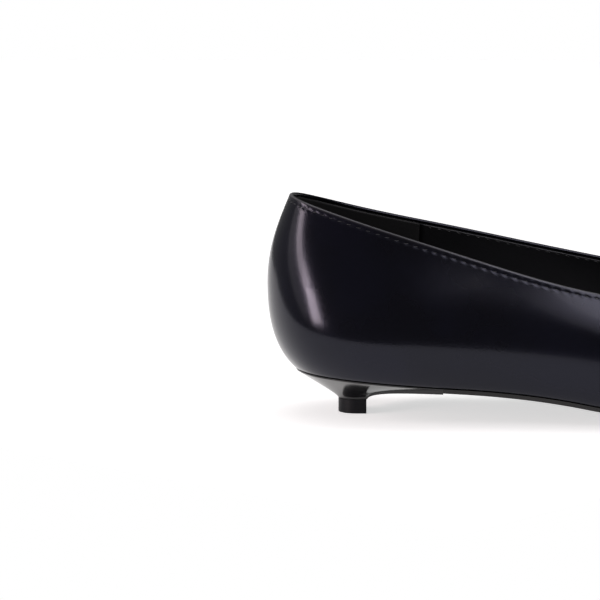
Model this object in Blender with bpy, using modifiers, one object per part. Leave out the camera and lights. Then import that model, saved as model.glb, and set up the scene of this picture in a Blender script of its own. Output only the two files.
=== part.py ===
"""A right-foot kitten heel pump, made the way the shoe is: a lasted upper with its margin turned in,
an insole on that margin, a thin outsole, a small coved heel and the top piece under it.

Metres, +Z up, floor at z = 0. The toe points along +X and the inner side of the foot is +Y."""

import bmesh
import bpy
import numpy as np

MM = 0.001
UP = np.array([0.0, 0.0, 1.0])

# Driving dimensions, in metres.
LENGTH = 0.256            # heel back to toe tip, an EU 37.5 with a soft pointed toe
CENTRE = 0.0008           # moves the heel's middle line so that the shoe's box is centred on y = 0
WALL = 0.0019             # leather and lining together
GAP = 0.0003              # clearance between pieces that touch on the shoe
MARGIN = 0.009            # width of the lasting margin turned in under the foot
INSOLE_THICK = 0.0020
INSOLE_INSET = 0.0006     # insole's edge inside the foot of the wall
INSOLE_BLUNT = 0.0012     # cut off the insole's tip so that it clears the toe
SOLE_THICK = 0.0014
SOLE_INSET = 0.0004       # outsole edge inside the feather line
HEEL_FRONT = 0.0580       # where the heel seat ends and the outsole starts
HEEL_RIM = 0.0004         # thin edge of the heel seat at the back
BREAST_LIP = 0.0014       # depth of the seat edge at the heel's front end
TOP_PIECE = 0.0046        # height of the top piece
TOP_PIECE_INSET = 0.00025

# The stem of the heel, a D with its flat breast to the front.
STEM_BACK = 0.0235
STEM_FRONT = 0.0333
STEM_HALF = 0.0061

# Mesh density.
ROUND = 100               # columns around the upper
LOW_ROWS = 6              # feather to widest line
HIGH_ROWS = 9             # widest line to topline
MARGIN_ROWS = 2
END_SHARE = 0.45          # how much closer the columns stand at heel and toe
INSOLE_STATIONS = 44
WAIST_STATIONS = 12       # outsole, heel seat to tread
TOE_STATIONS = 18         # outsole, tread to toe tip
ACROSS = 5                # points across insole, outsole and heel seat
HEEL_STATIONS = 18
HEEL_ROWS = 9
STEM_STATIONS = 9
OUTLINE_POINTS = 720      # points that a plan outline is read from
LEVEL_ROWS = 60           # points up the wall that its inside is read from
SMOOTH_ANGLE = 40         # degrees; flatter edges are shaded smooth
NEARBY = 1e-5             # share of the way round used for the direction of the widest line
WELD = 1e-6               # points closer than this are one point

# One row for each section of the last, heel back to toe tip, in millimetres.
# x, lat, med: plan of the widest line. wide: its height. tuck: how far the feather lies inside it.
# top_x, top_lat, top_med: plan of the topline. rim_lat, rim_med: its height.
# lean: slope of the wall at the topline, in degrees. reach, rise: length of its upper two handles.
SECTION = "x lat med wide tuck top_x top_lat top_med rim_lat rim_med lean reach rise".split()
LAST = [
    (0.0, 0.0, 0.0, 43.5, 9.2, 7.6, 0.0, 0.0, 73.4, 73.4, 68, 11, 12),
    (2.4, 10.6, 10.6, 41.0, 8.8, 9.4, 7.6, 7.6, 72.9, 72.8, 69, 11, 12),
    (10.2, 21.4, 21.2, 35.0, 7.6, 15.2, 14.2, 14.2, 71.2, 70.9, 70, 12, 13),
    (30.0, 30.4, 30.0, 29.0, 6.0, 33.0, 21.6, 21.6, 65.8, 65.7, 73, 12, 13),
    (62.0, 32.0, 30.0, 26.5, 5.4, 62.0, 26.2, 26.0, 57.0, 59.1, 77, 10, 11),
    (95.0, 33.2, 28.8, 24.0, 5.0, 94.0, 28.4, 26.2, 47.5, 52.3, 76, 9, 9),
    (128.0, 37.2, 30.6, 20.0, 4.4, 124.0, 28.4, 25.6, 41.3, 46.2, 60, 8, 9),
    (158.0, 40.2, 36.0, 16.5, 3.8, 146.0, 24.4, 22.6, 38.4, 41.6, 42, 9, 9),
    (186.0, 38.2, 38.6, 14.5, 3.4, 162.5, 16.8, 17.2, 37.9, 39.4, 28, 14, 9),
    (213.0, 27.4, 31.6, 13.5, 3.0, 171.5, 9.0, 11.4, 38.4, 39.1, 19, 21, 9),
    (236.0, 12.6, 21.0, 13.5, 2.8, 175.2, 3.4, 6.8, 38.9, 39.1, 15, 28, 8.5),
    (251.0, -0.6, 11.6, 14.0, 2.6, 176.4, -0.2, 3.4, 39.1, 39.1, 14, 35, 7.5),
    (256.0, -5.8, 5.8, 14.2, 2.6, 176.6, -1.6, 1.6, 39.1, 39.1, 14, 38, 5.5),
]

# Underside of the last from heel to toe, in millimetres: x and height of the feather line.
BOTTOM = [
    (0.0, 15.2), (9.0, 15.1), (20.0, 14.6), (33.0, 13.8), (57.0, 12.15), (72.0, 11.2),
    (86.0, 9.9), (98.0, 8.3), (111.0, 6.1), (126.0, 3.9), (140.0, 2.4), (152.0, 1.8),
    (160.0, 1.7), (184.0, 1.7), (198.0, 2.3), (222.0, 5.0), (256.0, 10.4),
]
TREAD = (0.160, 0.184)    # the outsole lies flat on the floor between these

# Handles of the wall below its widest line.
FEATHER_SLOPE = (42, 50)  # degrees at the heel back and on the sides
HEEL_CURVE = 0.02         # how far along x the slope at the heel back reaches
FEATHER_HANDLE = 0.23     # share of the height from feather to widest line
WIDE_HANDLE = 0.40

# The margin is turned in towards this middle line: where it starts and ends, and its sideways
# turn towards the inner side over the forepart.
SPINE = (0.034, 0.222)
SPINE_TURN_START = 0.120
SPINE_TURN = 0.008

# How the heel's cove runs from seat edge to stem: first handle's share of the run and its drop,
# height of the second handle, each at the heel back and at the breast corner.
COVE_SHARE = 0.42
COVE_DROP = (0.0040, 0.0004)
COVE_FOOT = (0.0060, 0.0086)
COVE_HUG = 0.0042         # outward bow of the breast corner's line in plan
COVE_FLARE = 0.03         # share of the run by which the stem's top flares
LIP_WIDTH = 0.0004        # plan width of the breast lip's corner
LIP_SHARE = 0.03          # the same, as a share of the stem's half outline
LIP_AT_FOOT = 0.7         # share of the lip's depth left at the second handle
STEM_STRAIGHT = 0.30      # share of the stem's half outline that is straight

COLOURS = {
    "upper": ((0.0040, 0.0042, 0.0072, 1), 0.22),
    "insole": ((0.010, 0.009, 0.009, 1), 0.60),
    "outsole": ((0.012, 0.011, 0.011, 1), 0.45),
    "heel": ((0.004, 0.004, 0.005, 1), 0.12),
    "top_piece": ((0.011, 0.011, 0.012, 1), 0.50),
}


def column(name):
    """One named column of the last's table, in millimetres or degrees."""
    return np.array([row[SECTION.index(name)] for row in LAST])


def around(lateral, medial):
    """A loop of values: down the outer side to the toe and back up the inner side."""
    return np.concatenate([lateral, medial[-2:0:-1]])


def closed_spline(knots, values, at):
    """Smooth closed curve through values at knots, where the last knot is the first one again."""
    count = len(values)
    step = np.diff(knots)
    system = np.zeros((count, count))
    right = np.zeros((count, values.shape[1]))
    for i in range(count):
        before, after = i - 1, (i + 1) % count
        system[i, before] += 1 / step[before]
        system[i, i] += 2 / step[before] + 2 / step[i]
        system[i, after] += 1 / step[i]
        right[i] = 3 * (values[i] - values[before]) / step[before] ** 2
        right[i] += 3 * (values[after] - values[i]) / step[i] ** 2
    slope = np.linalg.solve(system, right)
    i = np.clip(np.searchsorted(knots, at, side="right") - 1, 0, count - 1)
    j = (i + 1) % count
    t = ((at - knots[i]) / step[i])[:, None]
    h = step[i][:, None]
    return ((1 + 2 * t) * (1 - t) ** 2 * values[i] + t * (1 - t) ** 2 * h * slope[i]
            + t * t * (3 - 2 * t) * values[j] + t * t * (t - 1) * h * slope[j])


def monotone(table, at):
    """Curve through a table of (x, value) in millimetres that never swings past its points."""
    x, y = np.array(table).T * MM
    step = np.diff(x)
    secant = np.diff(y) / step
    slope = np.zeros(len(x))
    slope[0], slope[-1] = secant[0], secant[-1]
    for i in range(1, len(x) - 1):
        if secant[i - 1] * secant[i] > 0:
            slope[i] = 2 * secant[i - 1] * secant[i] / (secant[i - 1] + secant[i])
    i = np.clip(np.searchsorted(x, at, side="right") - 1, 0, len(x) - 2)
    t = (at - x[i]) / step[i]
    return ((1 + 2 * t) * (1 - t) ** 2 * y[i] + t * (1 - t) ** 2 * step[i] * slope[i]
            + t * t * (3 - 2 * t) * y[i + 1] + t * t * (t - 1) * step[i] * slope[i + 1])


def bottom(x):
    """Height of the last's underside at x."""
    return monotone(BOTTOM, x)


def bezier(p0, p1, p2, p3, t):
    """Cubic curve for each column at each t: rows of points."""
    t = np.asarray(t)[:, None, None]
    s = 1 - t
    return s ** 3 * p0 + 3 * s * s * t * p1 + 3 * s * t * t * p2 + t ** 3 * p3


def flat(points):
    """The same points with no height."""
    return points * (1, 1, 0)


def unit(vectors):
    """The same directions, one long."""
    return vectors / np.linalg.norm(vectors, axis=-1, keepdims=True)


def table_loop(x, lateral, medial, height_lateral, height_medial):
    """Points at the table's rows, all the way round, from the names of their columns."""
    return np.stack([around(column(x), column(x)), around(-column(lateral), column(medial)),
                     around(column(height_lateral), column(height_medial))], axis=1)


def last_lines(share):
    """The lines around the last that its wall is drawn from, at each share of the way round."""
    wide = table_loop("x", "lat", "med", "wide", "wide") * MM
    top = table_loop("top_x", "top_lat", "top_med", "rim_lat", "rim_med") * MM
    form = np.stack([around(column(c), column(c)) for c in ("tuck", "lean", "reach", "rise")], axis=1)
    chord = np.linalg.norm(np.diff(np.vstack([wide, wide[:1]])[:, :2], axis=0), axis=1)
    knots = np.concatenate([[0], np.cumsum(chord)])
    ahead = closed_spline(knots, flat(wide), (share + NEARBY) % 1 * knots[-1])
    behind = closed_spline(knots, flat(wide), (share - NEARBY) % 1 * knots[-1])
    along = unit(ahead - behind)
    inward = np.stack([-along[:, 1], along[:, 0], 0 * share], axis=1)
    lines = closed_spline(knots, np.hstack([wide, top, form]), share * knots[-1])
    wide, top = lines[:, 0:3], lines[:, 3:6]
    tuck, lean, reach, rise = lines[:, 6:].T
    feather = flat(wide) + inward * tuck[:, None] * MM
    feather[:, 2] = bottom(feather[:, 0])
    return wide, top, feather, inward, np.radians(lean), reach * MM, rise * MM


def low_handles(wide, feather, inward):
    """The two handles of the wall between feather and widest line."""
    height = (wide - feather)[:, 2:]
    back = np.exp(-(wide[:, :1] / HEEL_CURVE) ** 2)
    slope = np.radians(FEATHER_SLOPE[1] + (FEATHER_SLOPE[0] - FEATHER_SLOPE[1]) * back)
    first = feather + (UP - inward / np.tan(slope)) * height * FEATHER_HANDLE
    return first, wide - UP * height * WIDE_HANDLE


def shares(count):
    """Columns around the shoe, closer together at heel and toe."""
    even = np.arange(count) / count
    return even - END_SHARE * np.sin(4 * np.pi * even) / (4 * np.pi)


def outer_wall(share, margin_rows, low_rows, high_rows):
    """Rows of points on the outside of the upper: margin edge, feather, widest line, topline."""
    wide, top, feather, inward, lean, reach, rise = last_lines(share)
    spine = np.clip(feather[:, 0], *SPINE)
    turn = np.clip((spine - SPINE_TURN_START) / (SPINE[1] - SPINE_TURN_START), 0, 1)
    middle = np.stack([spine, SPINE_TURN * turn, 0 * spine], axis=1)
    edge = feather + unit(middle - flat(feather)) * MARGIN
    under = edge + (feather - edge) * np.linspace(0, 1, margin_rows + 1)[:-1, None, None]
    under[..., 2] = bottom(under[..., 0])
    first, second = low_handles(wide, feather, inward)
    low = bezier(feather, first, second, wide, np.linspace(0, 1, low_rows + 1)[:-1])
    out = unit(flat(wide - top))
    shoulder = top + reach[:, None] * (out * np.cos(lean)[:, None] - UP * np.sin(lean)[:, None])
    high = bezier(wide, wide + UP * rise[:, None], shoulder, top, np.linspace(0, 1, high_rows + 1))
    return np.concatenate([under, low, high])


def new_object(name, bm):
    """An object of its own for a finished mesh, with its material, in the shoe's collection."""
    mesh = bpy.data.meshes.new(name)
    bm.to_mesh(mesh)
    bm.free()
    mesh.shade_smooth()
    mesh.set_sharp_from_angle(angle=np.radians(SMOOTH_ANGLE))
    part = bpy.data.objects.new(name, mesh)
    colour, roughness = COLOURS[name]
    material = bpy.data.materials.new(name)
    material.use_nodes = True
    shader = material.node_tree.nodes["Principled BSDF"]
    shader.inputs["Base Color"].default_value = colour
    shader.inputs["Roughness"].default_value = roughness
    mesh.materials.append(material)
    part.parent = bpy.data.objects["pump"]
    bpy.data.collections["kitten_heel_pump"].objects.link(part)
    return part


def sheet(points, outward):
    """A grid laid over rows of points; outward is a direction that its first face should look to."""
    rows, columns = points.shape[:2]
    bm = bmesh.new()
    bmesh.ops.create_grid(bm, x_segments=columns - 1, y_segments=rows - 1, size=1)
    for vert in bm.verts:
        i = round((vert.co.y + 1) / 2 * (rows - 1))
        j = round((vert.co.x + 1) / 2 * (columns - 1))
        vert.co = points[i, j]
    bmesh.ops.remove_doubles(bm, verts=bm.verts, dist=WELD)
    bm.normal_update()
    bm.faces.ensure_lookup_table()
    if bm.faces[0].normal.dot(outward) < 0:
        bmesh.ops.reverse_faces(bm, faces=bm.faces)
    return bm


def face_out(bm):
    """Turn every face of a closed mesh outwards."""
    bmesh.ops.recalc_face_normals(bm, faces=bm.faces)
    if bm.calc_volume(signed=True) < 0:
        bmesh.ops.reverse_faces(bm, faces=bm.faces)


def make_upper():
    """The lasted upper: one closed loop of wall from the turned-in margin up to the topline."""
    share = shares(ROUND)
    wall = outer_wall(share, MARGIN_ROWS, LOW_ROWS, HIGH_ROWS)
    wall = np.concatenate([wall, wall[:, :1]], axis=1)
    upper = new_object("upper", sheet(wall, (0, 0, -1)))
    solid = upper.modifiers.new("wall", "SOLIDIFY")
    solid.thickness = WALL
    solid.offset = -1
    solid.use_even_offset = True
    solid.use_quality_normals = True


def outline(inset_at):
    """Plan outline inside the widest line by inset_at(wide, feather, inward).

    Returns where it starts and ends along x, and a function that gives both its sides at x."""
    wide, _, feather, inward, *_ = last_lines(np.arange(OUTLINE_POINTS) / OUTLINE_POINTS)
    loop = flat(wide) + inward * inset_at(wide, feather, inward)[:, None]
    tip = int(np.argmax(loop[:, 0]))
    lateral, medial = loop[:tip + 1], np.vstack([loop[tip:], loop[:1]])[::-1]

    def sides(x):
        return np.interp(x, *lateral.T[:2]), np.interp(x, *medial.T[:2])
    return loop[0, 0], loop[tip, 0], sides


def sole_inset(wide, feather, inward):
    """Insets of the outsole's edge, just inside the feather line."""
    return np.linalg.norm(flat(wide - feather), axis=1) + SOLE_INSET


def insole_inset(wide, feather, inward):
    """Insets of the insole's edge, just inside the wall where it meets the turned-in margin."""
    first, second = low_handles(wide, feather, inward)
    wall = bezier(feather, first, second, wide, np.linspace(0, 1, LEVEL_ROWS))
    run = np.einsum("rcx,cx->rc", wall - wide, inward)
    run_step, rise_step = np.gradient(run, axis=0), np.gradient(wall[..., 2], axis=0)
    size = np.hypot(run_step, rise_step)
    inner_run = run + WALL * rise_step / size
    inner_rise = wall[..., 2] - WALL * run_step / size
    level = feather[:, 2] + WALL + GAP
    hits = [np.interp(z, inner_rise[:, c], inner_run[:, c]) for c, z in enumerate(level)]
    return np.array(hits) + INSOLE_INSET


def plate_points(x, sides, height):
    """Rows of points across the shoe at each x, from its outer side to its inner side."""
    lateral, medial = sides(x)
    y = lateral[:, None] + (medial - lateral)[:, None] * np.linspace(0, 1, ACROSS)
    return np.stack([np.broadcast_to(x[:, None], y.shape), y,
                     np.broadcast_to(height(x)[:, None], y.shape)], axis=2)


def plate(name, x, sides, height, thickness):
    """A plate of even thickness whose upper face follows height(x) between its two sides."""
    bm = sheet(plate_points(x, sides, height), (0, 0, 1))
    under = bmesh.ops.extrude_face_region(bm, geom=bm.faces, use_keep_orig=True)["geom"]
    under = [item for item in under if isinstance(item, bmesh.types.BMVert)]
    bmesh.ops.translate(bm, verts=under, vec=(0, 0, -thickness))
    face_out(bm)
    new_object(name, bm)


def make_insole():
    """The insole, on the turned-in margin and just inside the wall."""
    start, end, sides = outline(insole_inset)
    turn = np.linspace(0, np.pi, INSOLE_STATIONS)
    x = start + (end - INSOLE_BLUNT - start) * (1 - np.cos(turn)) / 2
    plate("insole", x, sides, lambda at: bottom(at) + WALL + GAP + INSOLE_THICK, INSOLE_THICK)


def under_last(x):
    """Upper face of the outsole and of the heel seat."""
    return bottom(x) - GAP


def make_outsole():
    """The outsole, from the front of the heel seat to the toe, level over its tread."""
    _, end, sides = outline(sole_inset)
    waist = np.linspace(HEEL_FRONT + GAP, TREAD[0], WAIST_STATIONS)
    toe = TREAD[1] + (end - TREAD[1]) * np.sin(np.linspace(0, np.pi / 2, TOE_STATIONS))
    plate("outsole", np.concatenate([waist, toe]), sides, under_last, SOLE_THICK)


def stem_point(share):
    """Half outline of the stem in plan, from the middle of its back (0) to its breast corner (1)."""
    turn = np.clip(share / (1 - STEM_STRAIGHT), 0, 1) * np.pi / 2
    ahead = np.clip((share - 1 + STEM_STRAIGHT) / STEM_STRAIGHT, 0, 1)
    round_end = STEM_BACK + STEM_HALF
    x = round_end - STEM_HALF * np.cos(turn) + (STEM_FRONT - round_end) * ahead
    return x, STEM_HALF * np.sin(turn)


def cove(seat, share, side, is_breast):
    """The heel's outside below one point of its seat edge: points from seat to stem."""
    stem_x, stem_y = stem_point(share)
    stem = np.array([stem_x, stem_y * side, TOP_PIECE + GAP])
    lip = BREAST_LIP if is_breast else 0
    edge = seat - (0, 0, HEEL_RIM + lip)
    first = edge + (stem - edge) * COVE_SHARE
    first[1] += side * COVE_HUG * share ** 3
    first[2] = edge[2] - COVE_DROP[0] - (COVE_DROP[1] - COVE_DROP[0]) * share ** 2
    second = stem + (edge - stem) * COVE_FLARE
    second[2] = COVE_FOOT[0] + (COVE_FOOT[1] - COVE_FOOT[0]) * share ** 2 - lip * LIP_AT_FOOT
    return bezier(edge, first, second, stem, np.linspace(0, 1, HEEL_ROWS))[:, 0]


def seat_stations(start):
    """Places along the heel seat, close together at its round back and at its breast corners."""
    turn = np.linspace(0, np.pi / 2, HEEL_STATIONS - 1)
    return np.append(start + (HEEL_FRONT - LIP_WIDTH - start) * (1 - np.cos(turn)), HEEL_FRONT)


def make_heel():
    """The heel block: its seat, a cove all round down to the stem, and a breast with a lip."""
    start, _, sides = outline(sole_inset)
    x = seat_stations(start)
    seat = plate_points(x, sides, under_last)
    step = np.linalg.norm(np.diff(seat[:, 0], axis=0), axis=1)
    share = np.append(0, np.cumsum(step)) / step.sum() * (1 - LIP_SHARE)
    share[-1] = 1
    bm = sheet(seat, (0, 0, 1))
    ring = {}
    for vert in [vert for vert in bm.verts if vert.is_boundary]:
        i = int(np.argmin(abs(x - vert.co.x)))
        outer, inner = seat[i, 0, 1], seat[i, -1, 1]
        side = 2 * (vert.co.y - outer) / (inner - outer) - 1 if i else 0
        ring[vert] = cove(np.array(vert.co), share[i], side, i == len(x) - 1)
    for row in range(HEEL_ROWS):
        edges = [edge for edge in bm.edges if edge.is_boundary]
        made = set(bmesh.ops.extrude_edge_only(bm, edges=edges)["geom"])
        below = {}
        for vert, line in ring.items():
            grown = next(edge.other_vert(vert) for edge in vert.link_edges if edge.other_vert(vert) in made)
            grown.co = line[row]
            below[grown] = line
        ring = below
    bmesh.ops.edgeloop_fill(bm, edges=[edge for edge in bm.edges if edge.is_boundary])
    face_out(bm)
    new_object("heel", bm)


def make_top_piece():
    """The hard lift under the stem, a D a little smaller than the stem."""
    half = STEM_HALF - TOP_PIECE_INSET
    round_end = STEM_BACK + STEM_HALF
    turn = np.linspace(0, np.pi / 2, STEM_STATIONS)
    x = np.append(round_end - half * np.cos(turn), STEM_FRONT - TOP_PIECE_INSET)

    def sides(at):
        width = half * np.sin(np.arccos(np.clip((round_end - at) / half, 0, 1)))
        return -width, width
    plate("top_piece", x, sides, lambda at: np.full(at.shape, TOP_PIECE), TOP_PIECE)


def build():
    """Clear the scene and model the shoe's pieces."""
    for old in list(bpy.data.objects):
        bpy.data.objects.remove(old, do_unlink=True)
    shoe = bpy.data.collections.new("kitten_heel_pump")
    bpy.context.scene.collection.children.link(shoe)
    pump = bpy.data.objects.new("pump", None)
    pump.location = (-LENGTH / 2, CENTRE, 0)
    shoe.objects.link(pump)
    make_upper()
    make_insole()
    make_outsole()
    make_heel()
    make_top_piece()


build()
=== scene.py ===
# %% [markdown]
# # A kitten heel pump for the right foot
#
# A pump is a thin leather shell pulled over a last, with nothing to hold it but its own shape, so the
# last is where the model starts as well. The packed part gives the frame: every piece made below stands
# exactly where its plain solid stands, and only adds what a hand would feel, such as a folded edge, a
# lining, thread and grain. Everything is in metres, the toe points along +X and the inner side is +Y.

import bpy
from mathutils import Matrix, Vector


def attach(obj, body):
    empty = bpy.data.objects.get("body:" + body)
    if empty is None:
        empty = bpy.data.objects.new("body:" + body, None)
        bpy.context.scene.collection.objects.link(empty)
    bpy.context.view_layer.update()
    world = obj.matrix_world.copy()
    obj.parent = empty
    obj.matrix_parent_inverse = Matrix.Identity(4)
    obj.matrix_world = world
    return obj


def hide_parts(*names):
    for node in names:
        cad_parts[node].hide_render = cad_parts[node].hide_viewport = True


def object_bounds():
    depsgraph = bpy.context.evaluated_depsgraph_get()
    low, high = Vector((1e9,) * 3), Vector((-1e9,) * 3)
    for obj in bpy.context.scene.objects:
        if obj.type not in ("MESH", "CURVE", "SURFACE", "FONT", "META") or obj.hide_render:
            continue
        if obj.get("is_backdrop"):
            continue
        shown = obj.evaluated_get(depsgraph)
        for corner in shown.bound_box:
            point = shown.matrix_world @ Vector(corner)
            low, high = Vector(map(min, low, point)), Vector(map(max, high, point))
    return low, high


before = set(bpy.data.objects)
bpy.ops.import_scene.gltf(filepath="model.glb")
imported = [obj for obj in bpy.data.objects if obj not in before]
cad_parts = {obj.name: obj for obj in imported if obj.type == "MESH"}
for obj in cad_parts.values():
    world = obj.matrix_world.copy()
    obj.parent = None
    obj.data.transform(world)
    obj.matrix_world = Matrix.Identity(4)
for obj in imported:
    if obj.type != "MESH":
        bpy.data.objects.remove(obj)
cad_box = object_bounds()
print("solids:", sorted(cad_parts))
print("box from", [round(v, 4) for v in cad_box[0]], "to", [round(v, 4) for v in cad_box[1]])

import bmesh
import bpy
import numpy as np
from mathutils import Matrix, Vector

MM = 0.001
UP = np.array([0.0, 0.0, 1.0])
scene = bpy.context.scene
print("Blender", bpy.app.version_string)

# %% [markdown]
# ## The camera
#
# The picture is a close crop of the rear of the shoe, taken from low down, nine degrees above the table.
# A long lens far away keeps the near and the far side of the collar the same size, as in the picture.
# The camera is set first, because every later choice is judged through it.

# %% Camera
CAMERA_TARGET = Vector((-0.1171, 0.0008, 0.0374))
CAMERA_RISE = np.radians(9)
CAMERA_AWAY = 1.6
LENS = 288

back = Vector((0, -np.cos(CAMERA_RISE), np.sin(CAMERA_RISE)))
lens = bpy.data.cameras.new("camera")
lens.lens = LENS
camera = bpy.data.objects.new("camera", lens)
camera.location = CAMERA_TARGET + back * CAMERA_AWAY
camera.rotation_euler = (np.pi / 2 - CAMERA_RISE, 0, 0)
scene.collection.objects.link(camera)
scene.camera = camera
print("frame width at the shoe, mm:", round(lens.sensor_width / LENS * CAMERA_AWAY / MM, 1))

# %% [markdown]
# ## The last
#
# A shoemaker draws a last as a few sections: how wide it is, how high the widest line lies, where the sole
# is sewn or glued on, and where the collar ends. The table below is that drawing, one row for each
# section from the back of the heel to the tip of the toe. A closed smooth curve through the rows gives
# the same lines at any place round the shoe, so the mesh can be as fine as the light asks for.

# %% The last's table, in millimetres and degrees
LENGTH = 0.256
CENTRE = 0.0008           # the heel's middle line, off the middle of the box
PLACE = np.array([-LENGTH / 2, CENTRE, 0])

# x, lat, med: plan of the widest line. wide: its height. tuck: how far the feather lies inside it.
# top_x, top_lat, top_med: plan of the topline. rim_lat, rim_med: its height.
# lean: slope of the wall at the topline. reach, rise: length of its upper two handles.
SECTION = "x lat med wide tuck top_x top_lat top_med rim_lat rim_med lean reach rise".split()
LAST = [
    (0.0, 0.0, 0.0, 43.5, 9.2, 7.6, 0.0, 0.0, 73.4, 73.4, 68, 11, 12),
    (2.4, 10.6, 10.6, 41.0, 8.8, 9.4, 7.6, 7.6, 72.9, 72.8, 69, 11, 12),
    (10.2, 21.4, 21.2, 35.0, 7.6, 15.2, 14.2, 14.2, 71.2, 70.9, 70, 12, 13),
    (30.0, 30.4, 30.0, 29.0, 6.0, 33.0, 21.6, 21.6, 65.8, 65.7, 73, 12, 13),
    (62.0, 32.0, 30.0, 26.5, 5.4, 62.0, 26.2, 26.0, 57.0, 59.1, 77, 10, 11),
    (95.0, 33.2, 28.8, 24.0, 5.0, 94.0, 28.4, 26.2, 47.5, 52.3, 76, 9, 9),
    (128.0, 37.2, 30.6, 20.0, 4.4, 124.0, 28.4, 25.6, 41.3, 46.2, 60, 8, 9),
    (158.0, 40.2, 36.0, 16.5, 3.8, 146.0, 24.4, 22.6, 38.4, 41.6, 42, 9, 9),
    (186.0, 38.2, 38.6, 14.5, 3.4, 162.5, 16.8, 17.2, 37.9, 39.4, 28, 14, 9),
    (213.0, 27.4, 31.6, 13.5, 3.0, 171.5, 9.0, 11.4, 38.4, 39.1, 19, 21, 9),
    (236.0, 12.6, 21.0, 13.5, 2.8, 175.2, 3.4, 6.8, 38.9, 39.1, 15, 28, 8.5),
    (251.0, -0.6, 11.6, 14.0, 2.6, 176.4, -0.2, 3.4, 39.1, 39.1, 14, 35, 7.5),
    (256.0, -5.8, 5.8, 14.2, 2.6, 176.6, -1.6, 1.6, 39.1, 39.1, 14, 38, 5.5),
]
# The underside of the last: x and height of the feather line, where the wall turns under the foot.
BOTTOM = [
    (0.0, 15.2), (9.0, 15.1), (20.0, 14.6), (33.0, 13.8), (57.0, 12.15), (72.0, 11.2),
    (86.0, 9.9), (98.0, 8.3), (111.0, 6.1), (126.0, 3.9), (140.0, 2.4), (152.0, 1.8),
    (160.0, 1.7), (184.0, 1.7), (198.0, 2.3), (222.0, 5.0), (256.0, 10.4),
]
print("sections:", len(LAST), "and points along the underside:", len(BOTTOM))

# %% Curves through the tables
def column(name):
    """One named column of the last's table, in millimetres or degrees."""
    return np.array([row[SECTION.index(name)] for row in LAST])


def around(lateral, medial):
    """A loop of values: down the outer side to the toe and back up the inner side."""
    return np.concatenate([lateral, medial[-2:0:-1]])


def closed_spline(knots, values, at):
    """Smooth closed curve through values at knots, where the last knot is the first one again."""
    count = len(values)
    step = np.diff(knots)
    system = np.zeros((count, count))
    right = np.zeros((count, values.shape[1]))
    for i in range(count):
        before, after = i - 1, (i + 1) % count
        system[i, before] += 1 / step[before]
        system[i, i] += 2 / step[before] + 2 / step[i]
        system[i, after] += 1 / step[i]
        right[i] = 3 * (values[i] - values[before]) / step[before] ** 2
        right[i] += 3 * (values[after] - values[i]) / step[i] ** 2
    slope = np.linalg.solve(system, right)
    i = np.clip(np.searchsorted(knots, at, side="right") - 1, 0, count - 1)
    j = (i + 1) % count
    t = ((at - knots[i]) / step[i])[:, None]
    h = step[i][:, None]
    return ((1 + 2 * t) * (1 - t) ** 2 * values[i] + t * (1 - t) ** 2 * h * slope[i]
            + t * t * (3 - 2 * t) * values[j] + t * t * (t - 1) * h * slope[j])


print("values round the topline:", len(around(column("rim_lat"), column("rim_med"))))

# %% A curve that never swings past its points
def monotone(table, at):
    """Curve through a table of (x, value) in millimetres that never swings past its points."""
    x, y = np.array(table).T * MM
    step = np.diff(x)
    secant = np.diff(y) / step
    slope = np.zeros(len(x))
    slope[0], slope[-1] = secant[0], secant[-1]
    for i in range(1, len(x) - 1):
        if secant[i - 1] * secant[i] > 0:
            slope[i] = 2 * secant[i - 1] * secant[i] / (secant[i - 1] + secant[i])
    i = np.clip(np.searchsorted(x, at, side="right") - 1, 0, len(x) - 2)
    t = (at - x[i]) / step[i]
    return ((1 + 2 * t) * (1 - t) ** 2 * y[i] + t * (1 - t) ** 2 * step[i] * slope[i]
            + t * t * (3 - 2 * t) * y[i + 1] + t * t * (t - 1) * step[i] * slope[i + 1])


def bottom(x):
    """Height of the last's underside at x."""
    return monotone(BOTTOM, x)


print("feather height at heel, waist and tread, mm:", np.round(bottom(np.array([0.01, 0.1, 0.17])) / MM, 1))

# %% Cubic curves and directions
def bezier(p0, p1, p2, p3, t):
    """Cubic curve for each column at each t: rows of points."""
    t = np.asarray(t)[:, None, None]
    s = 1 - t
    return s ** 3 * p0 + 3 * s * s * t * p1 + 3 * s * t * t * p2 + t ** 3 * p3


def flat(points):
    """The same points with no height."""
    return points * (1, 1, 0)


def unit(vectors):
    """The same directions, one long."""
    return vectors / np.linalg.norm(vectors, axis=-1, keepdims=True)


print("halfway along a cubic from 0 to 1:", bezier(0.0, 0.0, 1.0, 1.0, [0.5]).item())

# %% [markdown]
# ## Lines around the last
#
# Three lines run round the shoe: the feather, the widest line and the topline. Between them the wall is
# one cubic curve below and one above, whose handles come from the table too. A mesh could be lofted
# between the lines by hand, but as a function the same wall also carries the lining and the stitches.

# %% Feather, widest line and topline at any share of the way round
FEATHER_SLOPE = (42, 50)  # degrees at the heel back and on the sides
HEEL_CURVE = 0.02
FEATHER_HANDLE = 0.23
WIDE_HANDLE = 0.40
NEARBY = 1e-5


def table_loop(x, lateral, medial, height_lateral, height_medial):
    """Points at the table's rows, all the way round, from the names of their columns."""
    return np.stack([around(column(x), column(x)), around(-column(lateral), column(medial)),
                     around(column(height_lateral), column(height_medial))], axis=1)


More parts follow.
